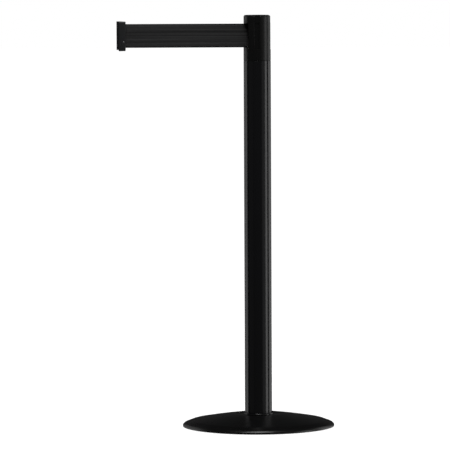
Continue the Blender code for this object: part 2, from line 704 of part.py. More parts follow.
def crossTangent(first, firstRadius, second, secondRadius):
    """Ends of the line that keeps the first circle on its left and the second on its right."""
    apart = Vector(second) - Vector(first)
    lean = math.acos(-(firstRadius + secondRadius) / apart.length)
    turn = math.atan2(apart.y, apart.x) + lean
    left = Vector((math.cos(turn), math.sin(turn)))
    return Vector(first) - firstRadius * left, Vector(second) + secondRadius * left, turn


def clipPinCentre():
    return CLIP_FACE - CLIP_PIN_SETBACK, CLIP_PIN_RADIUS + GAP + BELT_THICKNESS / 2


def makeBelt():
    """Off the roll, round the guide pin, straight out to the clip, and looped round its pin."""
    rollLine = ROLL_RADIUS + GAP + BELT_THICKNESS / 2
    guideLine = GUIDE_RADIUS + GAP + BELT_THICKNESS / 2
    loopLine = CLIP_PIN_RADIUS + GAP + BELT_THICKNESS / 2
    leave, meet, turn = crossTangent((0.0, 0.0), rollLine, guideCentre(), guideLine)
    away = math.atan2(leave.y, leave.x)
    path = arc((0.0, 0.0), rollLine, away - math.radians(BELT_WRAP), away, WRAP_STEPS)
    path += arc(guideCentre(), guideLine, turn, -math.pi / 2, WRAP_STEPS)
    path += arc(clipPinCentre(), loopLine, -math.pi / 2, -math.pi / 2 - math.radians(BELT_LOOP),
                LOOP_STEPS)
    prism("belt", strip(path, BELT_THICKNESS), BELT_BOTTOM, BELT_TOP, webbing())


def makeClip():
    """Block with a T-shaped tongue, slotted for the belt and bored for its pin."""
    half = CLIP_DEPTH / 2
    mesh = bmesh.new()
    corners = []
    for x, top, bottom in (
            (CLIP_BACK, CLIP_TOP, CLIP_BOTTOM),
            (CLIP_FACE, CLIP_TOP - CLIP_TAPER, CLIP_BOTTOM + 0.5 * CLIP_TAPER)):
        corners += [(x, -half, bottom), (x, half, bottom), (x, half, top), (x, -half, top)]
    verts = [mesh.verts.new(corner) for corner in corners]
    for face in ((0, 1, 2, 3), (7, 6, 5, 4), (0, 4, 5, 1), (1, 5, 6, 2), (2, 6, 7, 3), (3, 7, 4, 0)):
        mesh.faces.new([verts[corner] for corner in face])
    bmesh.ops.recalc_face_normals(mesh, faces=mesh.faces)
    clip = finish("clip_body", mesh, blackPlastic())
    bevel = clip.modifiers.new("edges", "BEVEL")
    bevel.width = CLIP_EDGE
    bevel.segments = 3
    neck = SLOT_NECK / 2 - TONGUE_NECK_ROOM
    plate = SLOT_CHAMBER / 2 - TONGUE_PLATE_ROOM
    plateBack = CLIP_BACK - NECK_LENGTH
    outline = [
        (plateBack - FLANGE_PLATE, -plate), (plateBack, -plate), (plateBack, -neck),
        (CLIP_BACK + TONGUE_ROOT, -neck), (CLIP_BACK + TONGUE_ROOT, neck), (plateBack, neck),
        (plateBack, plate), (plateBack - FLANGE_PLATE, plate)]
    tongue = prism("tongue", outline, BELT_BOTTOM - FLANGE_BELOW, CLIP_TOP - TONGUE_DROP,
                   cutter=True)
    cut(clip, tongue, operation="UNION")
    pin = clipPinCentre()
    low = BELT_BOTTOM - BELT_SLOT_ROOM
    high = BELT_TOP + BELT_SLOT_ROOM
    slot = box("belt_slot", (pin[0], -BELT_SLOT_HALF, low),
               (CLIP_FACE + REACH, BELT_SLOT_HALF, high), cutter=True)
    pocket = cylinder("loop_pocket", CLIP_PIN_RADIUS + 2 * GAP + BELT_THICKNESS + BELT_SLOT_ROOM,
                      low, high, centre=pin, cutter=True)
    foot = BELT_BOTTOM - CLIP_PIN_BELOW
    bore = cylinder("pin_bore", CLIP_PIN_RADIUS + GAP, foot - GAP, CLIP_TOP + REACH,
                    centre=pin, sides=SMALL_ROUND, cutter=True)
    cut(clip, slot, pocket, bore)
    cylinder("belt_pin", CLIP_PIN_RADIUS, foot, BELT_TOP + CLIP_PIN_ABOVE,
             zincSteel(), centre=pin, sides=SMALL_ROUND)
    makeClipScrew(clip)


def makeClipScrew(clip):
    """Short cross screw in the block's front face; it stops just before the belt's slot."""
    x = CLIP_FACE - CLIP_SCREW_SETBACK
    z = BELT_BOTTOM + CLIP_SCREW_LEVEL * BELT_WIDTH
    face = -CLIP_DEPTH / 2
    head = CLIP_SCREW_HEAD
    under = CLIP_SCREW_HEAD_HEIGHT
    radius = CLIP_SCREW_RADIUS
    length = CLIP_DEPTH / 2 - BELT_SLOT_HALF - CLIP_SCREW_END - 2 * GAP
    outline = [
        (0.0, 0.0), (head, 0.0), (head, under), (radius, under), (radius, length),
        (0.0, length)]
    hole = [
        (0.0, -REACH), (head + GAP, -REACH), (head + GAP, under + GAP), (radius + GAP, under + GAP),
        (radius + GAP, length + GAP), (0.0, length + GAP)]
    screw = turned("clip_screw", [(r, h + GAP) for r, h in outline], zincSteel(),
                   sides=SMALL_ROUND)
    cutter = turned("clip_screw_hole", [(r, h + GAP) for r, h in hole], None,
                    sides=SMALL_ROUND, cutter=True)
    upright = Matrix.Rotation(math.radians(-90), 4, "X")
    for thing in (screw, cutter):
        thing.data.transform(Matrix.Translation((x, face, z)) @ upright)
    cut(clip, cutter)


def main():
    clearScene()
    makeFloorPad()
    makeBaseCover()
    roof = makeBaseWeight()
    makeTieRod(roof)
    makeFootSpigot()
    makePostTube()
    makeFootTrim()
    makeHeadBody(makeHeadAdaptor())
    makeHeadCap()
    makeCassetteLid()
    makeGuidePin()
    makeSpindle()
    makeSpindleClip()
    makeSpool()
    makeSpringCase()
    makePowerSpring()
    makeBrake()
    makeBelt()
    makeClip()


main()
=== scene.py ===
import json
import math

import bmesh
import bpy
import numpy as np
from mathutils import Euler, Matrix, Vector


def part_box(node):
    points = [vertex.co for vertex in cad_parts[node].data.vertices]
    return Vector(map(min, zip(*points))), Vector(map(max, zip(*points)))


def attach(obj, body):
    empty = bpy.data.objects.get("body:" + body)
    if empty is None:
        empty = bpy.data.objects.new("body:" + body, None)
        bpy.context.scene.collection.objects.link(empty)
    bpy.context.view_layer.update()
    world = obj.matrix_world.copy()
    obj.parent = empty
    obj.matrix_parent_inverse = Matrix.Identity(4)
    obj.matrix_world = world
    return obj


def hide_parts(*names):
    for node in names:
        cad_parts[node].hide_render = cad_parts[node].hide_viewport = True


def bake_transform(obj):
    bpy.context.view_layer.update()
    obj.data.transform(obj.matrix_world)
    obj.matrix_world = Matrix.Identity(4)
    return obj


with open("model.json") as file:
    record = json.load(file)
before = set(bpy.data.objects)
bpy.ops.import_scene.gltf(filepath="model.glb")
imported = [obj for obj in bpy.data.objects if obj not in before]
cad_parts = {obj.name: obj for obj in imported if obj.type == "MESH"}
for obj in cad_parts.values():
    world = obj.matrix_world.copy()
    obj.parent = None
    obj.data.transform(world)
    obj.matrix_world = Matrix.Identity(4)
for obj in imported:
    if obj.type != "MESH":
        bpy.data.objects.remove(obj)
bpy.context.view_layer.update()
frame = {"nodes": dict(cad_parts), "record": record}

mm = 0.001
xAxis, yAxis, zAxis = 0, 1, 2


class Shade:
    # wraps one shader socket; sums of these add the Math nodes that work them out

    def __init__(self, tree, socket):
        self.tree, self.socket = tree, socket

    def make(self, kind, settings=None, values=None, out=0):
        # any node: its settings first, then its sockets, by name or by number
        node = self.tree.nodes.new(kind)
        for key, value in (settings or {}).items():
            setattr(node, key, value)
        for key, value in (values or {}).items():
            if isinstance(value, Shade):
                self.tree.links.new(value.socket, node.inputs[key])
            else:
                node.inputs[key].default_value = value
        return Shade(self.tree, node.outputs[out])

    def maths(self, operation, first, second=0.0):
        return self.make("ShaderNodeMath", {"operation": operation}, {0: first, 1: second})

    def __add__(self, other):
        return self.maths("ADD", self, other)

    def __radd__(self, other):
        return self.maths("ADD", other, self)

    def __sub__(self, other):
        return self.maths("SUBTRACT", self, other)

    def __rsub__(self, other):
        return self.maths("SUBTRACT", other, self)

    def __mul__(self, other):
        return self.maths("MULTIPLY", self, other)

    def __rmul__(self, other):
        return self.maths("MULTIPLY", other, self)

    def __pow__(self, other):
        return self.maths("POWER", self, other)

    def sine(self):
        return self.maths("SINE", self)

    def size(self):
        return self.maths("ABSOLUTE", self)

    def above(self, level):
        return self.maths("GREATER_THAN", self, level)

    def between(self, low, high):
        # 0 below low, 1 above high, smooth between
        return self.make("ShaderNodeMapRange", {"interpolation_type": "SMOOTHSTEP"},
                         {"Value": self, "From Min": low, "From Max": high})

    def part(self, axis):
        return self.make("ShaderNodeSeparateXYZ", None, {0: self}, axis)

    def stretch(self, scale):
        return self.make("ShaderNodeMapping", None, {"Vector": self, "Scale": scale})

    def noise(self, scale, detail=3.0, rough=0.55):
        # runs from about 0.25 to 0.75, 0.5 on average
        return self.make("ShaderNodeTexNoise", None,
                         {"Vector": self, "Scale": scale, "Detail": detail, "Roughness": rough})

    def cells(self, scale):
        return self.make("ShaderNodeTexVoronoi", None, {"Vector": self, "Scale": scale})


def newMaterial(name, **sockets):
    # a Principled material with its even values set straight on its sockets
    made = bpy.data.materials.new(name)
    made.use_nodes = True
    shader = made.node_tree.nodes["Principled BSDF"]
    for key, value in sockets.items():
        label = {"specular": "Specular IOR Level", "colour": "Base Color", "metal": "Metallic",
                 "rough": "Roughness", "sheen": "Sheen Weight",
                 "sheenRough": "Sheen Roughness", "ior": "IOR"}[key]
        shader.inputs[label].default_value = value if key != "colour" else (*value, 1.0)
    start = Shade(made.node_tree, None)
    place = start.make("ShaderNodeTexCoord", None, None, "Object")
    return made, shader, place


def drive(shader, place, tones, rough, height, bumpSize):
    # links what varies: colour from tones (mask, darker, lighter), roughness and bump height
    links = place.tree.links
    mask, darker, lighter = tones
    mixed = place.make("ShaderNodeMix", {"data_type": "RGBA"},
                       {0: mask, 6: (*darker, 1.0), 7: (*lighter, 1.0)}, 2)
    bump = place.make("ShaderNodeBump", None, {"Height": height, "Distance": bumpSize})
    links.new(mixed.socket, shader.inputs["Base Color"])
    links.new(rough.socket, shader.inputs["Roughness"])
    links.new(bump.socket, shader.inputs["Normal"])


coatLook = {
    "darker": (0.0042, 0.0042, 0.0050), "lighter": (0.0075, 0.0075, 0.0090),
    "rough": 0.19, "peel": 1400.0, "peelDepth": 0.00002}


def powderCoatFinish(name, look, scuffTop, scuffBottom):
    # orange peel from fine noise, broad patches of duller film, and scuffs near the floor
    made, shader, place = newMaterial(name, specular=0.5, ior=1.5)
    peel = place.noise(look["peel"], 2.0)
    patches = place.noise(9.0, 4.0)
    streaks = place.stretch((60.0, 60.0, 5.0)).noise(3.0, 5.0, 0.6)
    dust = place.cells(420.0).between(0.16, 0.02) * place.noise(60.0).between(0.5, 0.7)
    worn = place.part(zAxis).between(scuffTop, scuffBottom) * streaks.between(0.55, 0.7)
    rough = look["rough"] + (patches - 0.5) * 0.10 + (streaks - 0.5) * 0.05 + worn * 0.12
    drive(shader, place, (patches * 0.6 + dust * 0.5 + worn * 0.3, look["darker"], look["lighter"]),
          rough + dust * 0.2, peel + streaks * 0.15, look["peelDepth"])
    return made


plasticLook = {
    "darker": (0.0042, 0.0042, 0.0042), "lighter": (0.0078, 0.0078, 0.0078),
    "rough": 0.30, "grain": 2600.0, "grainDepth": 0.00002, "specular": 0.32}


def mouldedFinish(name, look):
    # spark-eroded mould grain, faint flow marks, and small rubs that polish the grain
    made, shader, place = newMaterial(name, specular=look["specular"], ior=1.5)
    grain = place.cells(look["grain"])
    flow = place.stretch((30.0, 30.0, 9.0)).noise(2.0, 4.0)
    rubs = place.noise(140.0, 5.0, 0.7).between(0.58, 0.72)
    drive(shader, place, (flow * 0.7 + rubs * 0.4, look["darker"], look["lighter"]),
          look["rough"] + (flow - 0.5) * 0.10 - rubs * 0.07, grain + flow * 0.2,
          look["grainDepth"])
    return made


# the last entry is the width along each edge of the belt that is darkened as painted shade
weaveLook = {
    "thread": (0.0055, 0.0055, 0.0056), "fibre": (0.066, 0.066, 0.067),
    "ribPitch": 1.55 * mm, "pickPitch": 1.15 * mm, "depth": 0.00012, "shadedSelvedge": 3.4 * mm}


def webbingFinish(name, look, width):
    # plain weave on the belt's own map in metres: warp ribs along it, weft picks across it,
    # each rib shifted half a pick from the last; ribs differ in tone, and both edges are darkened
    # over the selvedge's width as painted shade
    made, shader, place = newMaterial(name, sheen=0.08, sheenRough=0.45, specular=0.25)
    flat = place.make("ShaderNodeUVMap", {"uv_map": "weave"})
    along, across = flat.part(xAxis), flat.part(yAxis)
    turn = 2 * math.pi
    rib = (across * (turn / look["ribPitch"])).sine()
    shift = (across * (0.5 * turn / look["ribPitch"])).sine().above(0.0) * math.pi
    pick = (along * (turn / look["pickPitch"]) + shift).sine()
    threads = rib * 0.25 + 0.5 + pick * 0.25
    bands = flat.stretch((1.0, 150.0, 1.0)).noise(1.0, 2.0, 0.6)
    fuzz = flat.stretch((900.0, 2400.0, 1.0)).noise(1.0, 3.0, 0.7)
    # painted shade: the tone darkens over a band along both edges of the belt
    middle = (across - width / 2).size()
    edge = middle.between(width / 2 - look["shadedSelvedge"], width / 2 - 0.4 * look["shadedSelvedge"])
    tone = threads * 0.30 + (bands - 0.5) * 1.5 + 0.34 + (fuzz - 0.5) * 0.4 - edge * 0.8
    drive(shader, place, (tone.between(0.0, 1.0), look["thread"], look["fibre"]),
          0.72 + fuzz * 0.2, threads + fuzz * 0.25, look["depth"])
    return made


def metalFinish(name, colour, rough):
    # drawn lines along the piece, with blotches of duller plating
    made, shader, place = newMaterial(name, metal=1.0)
    lines = place.stretch((400.0, 400.0, 30.0)).noise(3.0, 3.0)
    blots = place.noise(220.0, 4.0)
    darker = tuple(0.7 * part for part in colour)
    drive(shader, place, (blots.between(0.35, 0.65), darker, colour),
          rough + (lines - 0.5) * 0.2 + (blots - 0.5) * 0.12, lines, 0.00001)
    return made


def rubberFinish(name):
    # matt compound with a pebbled face and pale bloom in the hollows
    made, shader, place = newMaterial(name, specular=0.3)
    pebbles = place.cells(700.0)
    bloom = place.noise(35.0, 5.0)
    drive(shader, place, (bloom.between(0.4, 0.75), (0.010, 0.010, 0.010), (0.03, 0.03, 0.029)),
          0.7 + (bloom - 0.5) * 0.2, pebbles, 0.00008)
    return made


def castFinish(name):
    # sand-cast skin: coarse lumps under fine pits, oiled dark with rust in the low places
    made, shader, place = newMaterial(name, metal=0.6)
    lumps, pits = place.noise(120.0, 4.0), place.noise(900.0, 3.0)
    drive(shader, place, (lumps.between(0.35, 0.7), (0.035, 0.028, 0.024), (0.09, 0.09, 0.095)),
          0.55 + (lumps - 0.5) * 0.3, lumps + pits * 0.3, 0.0003)
    return made


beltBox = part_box("belt_roll")
beltWidth = beltBox[1][2] - beltBox[0][2]
tubeCoat = powderCoatFinish("tubeCoat", coatLook, 0.20, 0.03)
baseCoat = powderCoatFinish(
    "baseCoat", {**coatLook, "darker": (0.0036, 0.0036, 0.0038),
                 "lighter": (0.0066, 0.0066, 0.0068), "rough": 0.29, "peel": 1100.0}, 0.012, 0.001)
headPlastic = mouldedFinish("headPlastic", plasticLook)
clipPlastic = mouldedFinish(
    "clipPlastic", {**plasticLook, "darker": (0.020, 0.0212, 0.0222),
                    "lighter": (0.036, 0.0378, 0.0396), "rough": 0.38})
weave = webbingFinish("weave", weaveLook, beltWidth)
finishes = {
    "powder_coat": baseCoat, "black_plastic": headPlastic, "webbing": weave,
    "dark_rubber": rubberFinish("floorRubber"), "cast_iron": castFinish("castSkin"),
    "zinc_steel": metalFinish("zincPlate", (0.56, 0.56, 0.58), 0.32),
    "spring_steel": metalFinish("bluedStrip", (0.22, 0.23, 0.27), 0.3),
    "white_nylon": mouldedFinish("naturalNylon", {
        "darker": (0.55, 0.54, 0.50), "lighter": (0.70, 0.69, 0.64),
        "rough": 0.45, "grain": 1500.0, "grainDepth": 0.00002, "specular": 0.5})}
print("finishes made")


def surface(name, points, look, closeAlong=True, flat=None, sharp=40.0):
    # quads over a grid of points, rows along the piece and columns around it; ends that
    # shrink to a point are merged, and normals are set outwards once the doubles are gone
    rows, columns = points.shape[:2]
    index = np.arange(rows * columns).reshape(rows, columns)
    below = index if closeAlong else index[:-1]
    above = np.roll(index, -1, 0) if closeAlong else index[1:]
    quads = np.stack((below, np.roll(below, -1, 1), np.roll(above, -1, 1), above), -1)
    faces = quads.reshape(-1, 4)
    data = bpy.data.meshes.new(name)
    data.from_pydata(points.reshape(-1, 3).tolist(), [], faces.tolist())
    if flat is not None:
        layer = data.uv_layers.new(name="weave")
        layer.data.foreach_set("uv", flat.reshape(-1, 2)[faces.ravel()].ravel())
    mesh = bmesh.new()
    mesh.from_mesh(data)
    bmesh.ops.remove_doubles(mesh, verts=mesh.verts, dist=1e-6)
    bmesh.ops.recalc_face_normals(mesh, faces=mesh.faces)
    if mesh.calc_volume(signed=True) < 0:
        bmesh.ops.reverse_faces(mesh, faces=mesh.faces)
    mesh.to_mesh(data)
    mesh.free()
    return linked(name, data, look, sharp)


def dressed(data, look, sharp):
    # one material and smooth shading, with edges past the angle kept sharp
    if look:
        data.materials.clear()
        data.materials.append(look)
    data.shade_smooth()
    data.set_sharp_from_angle(angle=math.radians(sharp))


def linked(name, data, look, sharp=40.0):
    thing = bpy.data.objects.new(name, data)
    bpy.context.scene.collection.objects.link(thing)
    dressed(data, look, sharp)
    return thing


def softened(corners, closed=True):
    # an outline from (x, y, radius) corners: each corner is a circular fillet of its radius
    given = np.array([corner[:2] for corner in corners], float)
    radii = [corner[2] if len(corner) > 2 else 0.0 for corner in corners]
    count = len(given)
    line = []
    for number, radius in enumerate(radii):
        point = given[number]
        if radius == 0.0 or not closed and number in (0, count - 1):
            line.append(point[None])
            continue
        back = given[number - 1] - point
        on = given[(number + 1) % count] - point
        backLength, onLength = np.linalg.norm(back), np.linalg.norm(on)
        back, on = back / backLength, on / onLength
        half = 0.5 * math.acos(float(np.clip(back @ on, -1, 1)))
        reach = min(radius / math.tan(half), 0.49 * backLength, 0.49 * onLength)
        radius = reach * math.tan(half)
        middle = point + (back + on) / np.linalg.norm(back + on) * radius / math.sin(half)
        first, last = point + back * reach - middle, point + on * reach - middle
        sweep = math.atan2(first[0] * last[1] - first[1] * last[0], float(first @ last))
        turns = np.linspace(0, sweep, max(4, int(abs(sweep) / 0.26)))[:, None]
        side = np.array([-first[1], first[0]])
        line.append(middle + first * np.cos(turns) + side * np.sin(turns))
    return np.concatenate(line)


def turned(name, profile, look, centre=(0.0, 0.0), sides=192, **options):
    # a closed (radius, height) outline carried round an upright axis
    profile = np.asarray(profile, float)
    angle = np.arange(sides) * 2 * math.pi / sides
    radius, height = profile[:, 0][:, None], profile[:, 1][:, None]
    points = np.stack((
        centre[0] + radius * np.cos(angle), centre[1] + radius * np.sin(angle),
        height + 0 * angle), -1)
    return surface(name, points, look, **options)


def raised(name, outline, low, high):
    # a tool for carved: a flat outline, turned anticlockwise, carried between two heights
    outline = np.asarray(outline, float)
    after = np.roll(outline, -1, 0)
    if (outline[:, 0] * after[:, 1] - after[:, 0] * outline[:, 1]).sum() < 0:
        outline = outline[::-1]
    count = len(outline)
    points = np.concatenate((
        np.column_stack((outline, np.full(count, low))),
        np.column_stack((outline, np.full(count, high)))))
    ring = np.arange(count)
    sides = np.column_stack((ring, np.roll(ring, -1), np.roll(ring, -1) + count, ring + count))
    faces = sides.tolist() + [ring[::-1].tolist(), (ring + count).tolist()]
    data = bpy.data.meshes.new(name)
    data.from_pydata(points.tolist(), [], faces)
    return linked(name, data, None)


cutSharp = 32.0


def carved(thing, cutters, operation="DIFFERENCE"):
    # cuts the shapes out, or joins them on, and keeps the result as the piece's own mesh
    for cutter in cutters:
        cut = thing.modifiers.new(cutter.name, "BOOLEAN")
        cut.operation, cut.object = operation, cutter
    graph = bpy.context.evaluated_depsgraph_get()
    data = bpy.data.meshes.new_from_object(thing.evaluated_get(graph))
    thing.modifiers.clear()
    look = thing.data.materials[0] if thing.data.materials else None
    thing.data = data
    for cutter in cutters:
        bpy.data.objects.remove(cutter)
    dressed(data, look, cutSharp)


def turnedAbout(points, degrees):
    # flat points turned anticlockwise about the origin
    angle = math.radians(degrees)
    spin = np.array([[math.cos(angle), math.sin(angle)], [-math.sin(angle), math.cos(angle)]])
    return points @ spin


def middleOf(box, first=xAxis, second=yAxis):
    # a box's middle along two of its axes
    return [(box[0][axis] + box[1][axis]) / 2 for axis in (first, second)]


tubeBox, headBox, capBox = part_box("post_tube"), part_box("head_body"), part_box("head_cap")
coverBox, trimBox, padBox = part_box("base_cover"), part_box("foot_trim"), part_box("floor_pad")
clipBox, pinBox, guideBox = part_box("clip_body"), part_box("belt_pin"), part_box("guide_pin")
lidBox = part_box("cassette_lid")
postRadius = tubeBox[1][0]
beltLow, beltHigh = beltBox[0][2], beltBox[1][2]
gap = 0.3 * mm


def finish(piece, body, node):
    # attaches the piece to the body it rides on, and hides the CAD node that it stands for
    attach(piece, body)
    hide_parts(node)


def makePin(name, node, body, ease, sides):
    # a plain round pin with both ends eased
    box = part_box(node)
    radius, low, high = (box[1][0] - box[0][0]) / 2, box[0][2], box[1][2]
    pin = turned(name, softened([
        (0.0, low, 0), (radius, low, ease), (radius, high, ease), (0.0, high, 0)],
        closed=False), finishes["zinc_steel"], middleOf(box), sides)
    finish(pin, body, node)


baseShape = {
    "wall": 1.8 * mm, "browDrop": 21.1 * mm, "browHeight": 15.1 * mm,
    "crest": 57.4 * mm, "slope": 0.156, "dish": 2.7 * mm, "dishWall": 11.0 * mm,
    "bulge": 0.9 * mm, "bulgeRadius": 1200.0 * mm, "rimTop": 5.2 * mm, "edgeDrop": 4.2 * mm,
    "edgeHeight": 8.7 * mm, "hem": 0.9 * mm}


def makeBase():
    makeCover()
    makeTrim()
    makePad()
    print("base made")


def makeCover():
    # one turned shell: rolled rim, brow, bulged cone, rounded crest and dish; the inside is
    # the outside set in by the wall along its normals
    shape = baseShape
    radius, low = coverBox[1][0], coverBox[0][2]
    brow = radius - shape["browDrop"]
    middle = (brow + shape["crest"]) / 2
    crestHeight = coverBox[1][2]
    dish = crestHeight - shape["dish"]
    hole = postRadius + gap
    wall = shape["wall"]
    outside = softened([
        (radius - shape["hem"], low, 0), (radius, low + 0.3 * mm, 0.5 * mm),
        (radius, shape["rimTop"], 3.0 * mm),
        (radius - shape["edgeDrop"], shape["edgeHeight"], 7.0 * mm),
        (brow, shape["browHeight"], 26.0 * mm),
        (middle, shape["browHeight"] + (brow - middle) * shape["slope"] + shape["bulge"],
         shape["bulgeRadius"]),
        (shape["crest"], crestHeight + 0.15 * mm, 14.0 * mm),
        (shape["crest"] - shape["dishWall"], dish + 0.3 * mm, 9.0 * mm),
        (trimBox[1][0] + 2.0 * mm, dish, 2.0 * mm), (hole, dish, 0)], closed=False)
    along = np.gradient(outside, axis=0)
    along /= np.linalg.norm(along, axis=1)[:, None]
    inside = outside + np.column_stack((-along[:, 1], along[:, 0])) * wall
    inside[0] = (radius - wall, low)
    inside[-1] = (hole, dish - wall)
    cover = turned("baseCover", np.concatenate((outside, inside[::-1])), baseCoat, sides=256,
                   sharp=50.0)
    finish(cover, "stand", "base_cover")


def makeTrim():
    # a ring round the post's foot, its top edge well rounded and leaning in a hair
    inner, outer = postRadius + gap, trimBox[1][0]
    low, high = trimBox[0][2], trimBox[1][2]
    trim = turned("footTrim", softened([
        (inner, low, 0), (outer, low, 0.3 * mm), (outer - 0.2 * mm, high, 1.9 * mm),
        (inner, high, 0.4 * mm)]), tubeCoat, sides=192, sharp=50.0)
    finish(trim, "stand", "foot_trim")


padShape = {
    "grooves": 15, "firstGroove": 12 * mm, "border": 6 * mm, "grooveWidth": 1.2 * mm,
    "grooveDepth": 0.5 * mm, "grooveSlope": 0.4 * mm, "edge": 0.6 * mm}


def makePad():
    # a disc with ring grooves of even pitch in its underside
    shape = padShape
    radius, top = padBox[1][0], padBox[1][2]
    width, depth, slope = shape["grooveWidth"], shape["grooveDepth"], shape["grooveSlope"]
    underside = [(0.0, 0.0)]
    for step in np.linspace(shape["firstGroove"], radius - shape["border"], shape["grooves"]):
        underside += [(step, 0.0), (step + slope, depth), (step + width, depth),
                      (step + width + slope, 0.0)]
    rim = softened([(radius - 2 * mm, 0.0, 0), (radius, 0.0, shape["edge"]),
                    (radius, top, shape["edge"]), (0.0, top, 0)], closed=False)
    pad = turned("floorPad", np.concatenate((underside, rim)), finishes["dark_rubber"], sides=160)
    finish(pad, "stand", "floor_pad")


postShape = {"wall": 1.8 * mm, "ease": 0.35 * mm, "endRing": 2 * mm, "rings": 40}


def makePost():
    # a tube with its cut ends eased; the ends tuck into the trim and under the head
    shape = postShape
    low, high = tubeBox[0][2], tubeBox[1][2]
    bore, ease = postRadius - shape["wall"], shape["ease"]
    levels = np.linspace(low + shape["endRing"], high - shape["endRing"], shape["rings"])
    outer = np.column_stack((np.full(levels.size, postRadius), levels))
    outline = np.concatenate((
        [(bore, low), (postRadius - ease, low), (postRadius, low + ease)], outer,
        [(postRadius, high - ease), (postRadius - ease, high), (bore, high)]))
    tube = turned("postTube", outline, tubeCoat, sides=192)
    finish(tube, "stand", "post_tube")
    print("post made")


headShape = {
    "bore": 29.95 * mm, "cavity": 23.5 * mm, "neck": 12.0 * mm, "chamber": 20.0 * mm,
    "slotBack": 26.4 * mm, "slotDepth": 2.5 * mm, "slotUnder": 4.8 * mm, "lip": 0.7 * mm,
    "mouth": 48.0 * mm, "mouthEnd": 15.0 * mm, "mouthMargin": 0.3 * mm, "mouthLip": 0.5 * mm,
    "mouthFlare": 2.2, "floorUnder": 7.0 * mm, "floorTop": 11.0 * mm, "spindleHole": 3.3 * mm}
reach = 20.0 * mm


def slotTools(label, low, high, surfaceRadius):
    # T-shaped cutters whose necks flare outwards over a rounded lip
    shape = headShape
    chamber, neck, lip = shape["chamber"] / 2, shape["neck"] / 2, shape["lip"]
    back, front = shape["slotBack"], shape["slotBack"] + shape["slotDepth"]
    edge = math.sqrt(surfaceRadius**2 - neck**2)
    quarter = np.linspace(0, math.pi / 2, 6)
    flare = np.column_stack((edge - lip + lip * np.sin(quarter) + 0.05 * mm,
                             neck + lip - lip * np.cos(quarter)))
    half = np.concatenate((
        [(back, 0.0), (back, chamber), (front, chamber), (front, neck), (edge - lip, neck)],
        flare[1:], [(surfaceRadius + 4 * mm, neck + lip + 1.2 * mm)]))
    mirror = half[1:][::-1] * (1, -1)
    outline = np.concatenate((half, mirror))
    return [
        raised(f"{label}Slot{number}", turnedAbout(outline, degrees), low, high)
        for number, degrees in enumerate((0.0, -90.0, 90.0))]


def makeHead():
    # a cup with a floor for the spindle, cut by the belt's mouth, whose sides flare outwards
    # as quarter ellipses, and by three slots
    shape = headShape
    low, high = headBox[0][2], headBox[1][2]
    floorUnder, floorTop = low + shape["floorUnder"], low + shape["floorTop"]
    body = turned("headShell", softened([
        (shape["bore"], low, 0.3 * mm), (postRadius, low, 0.5 * mm), (postRadius, high, 0.4 * mm),
        (shape["cavity"], high, 0.3 * mm), (shape["cavity"], floorTop, 0),
        (shape["spindleHole"], floorTop, 0), (shape["spindleHole"], floorUnder, 0),
        (shape["bore"], floorUnder, 0)]), headPlastic, sides=192)
    half, lip, long = shape["mouth"] / 2, shape["mouthLip"], shape["mouthFlare"]
    corner = math.sqrt(postRadius**2 - half**2)
    turn = np.linspace(0, math.pi / 2, 6)
    flare = np.column_stack((-(corner - long * lip) - lip * np.sin(turn) * long,
                             half + lip * (1 - np.cos(turn))))
    end = -shape["mouthEnd"]
    mouth = np.concatenate((
        [(end, -half), (end, half)], flare, [(-postRadius - reach, half + lip)]))
    mouth = np.concatenate((mouth, mouth[2:][::-1] * (1, -1)))
    tools = [raised("mouthTool", mouth, beltLow - shape["mouthMargin"], high + reach)]
    tools += slotTools("body", beltLow - shape["slotUnder"], high + reach, postRadius)
    carved(body, tools)
    finish(body, "stand", "head_body")
    makeCap()
    print("head made")


capShape = {
    "recess": 25.2 * mm, "hollow": 22.1 * mm, "roof": 4.5 * mm, "ease": 2.6 * mm,
    "round": 1.9 * mm, "flatRings": (20 * mm, 12 * mm, 5 * mm, 1 * mm), "lipRoot": 0.6 * mm,
    "screwCircle": 27.2 * mm, "screwAngles": (45.0, 116.0, -116.0, -45.0),
    "screwHead": 2.7 * mm, "screwSink": 3.2 * mm}


def makeCap():
    # a turned lid with a rounded top edge and flat rings on top; its lip, an arc of the post's
    # radius, fills the mouth above the belt, and its slots run right through
    shape = capShape
    low, high, roof = capBox[0][2], capBox[1][2], capBox[1][2] - shape["roof"]
    radius, clearLid = capBox[1][0], lidBox[1][2] + gap
    recess, hollow, ease = shape["recess"], shape["hollow"], shape["ease"]
    cap = turned("headCap", softened([
        (recess, low, 0.2 * mm), (radius, low, 0.45 * mm), (radius, high - ease, shape["round"]),
        (radius - ease, high, shape["round"]), (radius - ease - 2 * mm, high, 0),
        *((ring, high, 0) for ring in shape["flatRings"]), (0.0, high, 0), (0.0, roof, 0),
        (hollow, roof, 0), (hollow, clearLid, 0), (recess, clearLid, 0)]), headPlastic, sides=192)
    half, edge = headShape["mouth"] / 2 - gap, headShape["mouthEnd"] + gap
    outer = np.linspace(-math.asin(half / postRadius), math.asin(half / postRadius), 40)
    inner = np.linspace(-math.acos(edge / recess), math.acos(edge / recess), 40)[::-1]
    lip = np.concatenate((
        np.column_stack((-np.cos(outer), np.sin(outer))) * postRadius, [(-edge, half)],
        np.column_stack((-np.cos(inner), np.sin(inner))) * (recess + gap), [(-edge, -half)]))
    lipLow, lipHigh = beltHigh + headShape["mouthMargin"], low + shape["lipRoot"]
    carved(cap, [raised("lipTool", lip, lipLow, lipHigh)], "UNION")
    tools = slotTools("cap", low - reach, high + reach, radius)
    seats = [(shape["screwCircle"] * math.cos(math.radians(angle)),
              shape["screwCircle"] * math.sin(math.radians(angle)))
             for angle in shape["screwAngles"]]
    for number, seat in enumerate(seats):
        tools.append(turned(f"seatTool{number}", [
            (0.0, high - shape["screwSink"]), (shape["screwHead"], high - shape["screwSink"]),
            (shape["screwHead"], high + reach), (0.0, high + reach)], None, seat, 32))
    carved(cap, tools)
    finish(cap, "stand", "head_cap")
    for number, seat in enumerate(seats):
        makeCapScrew(number + 1, seat)


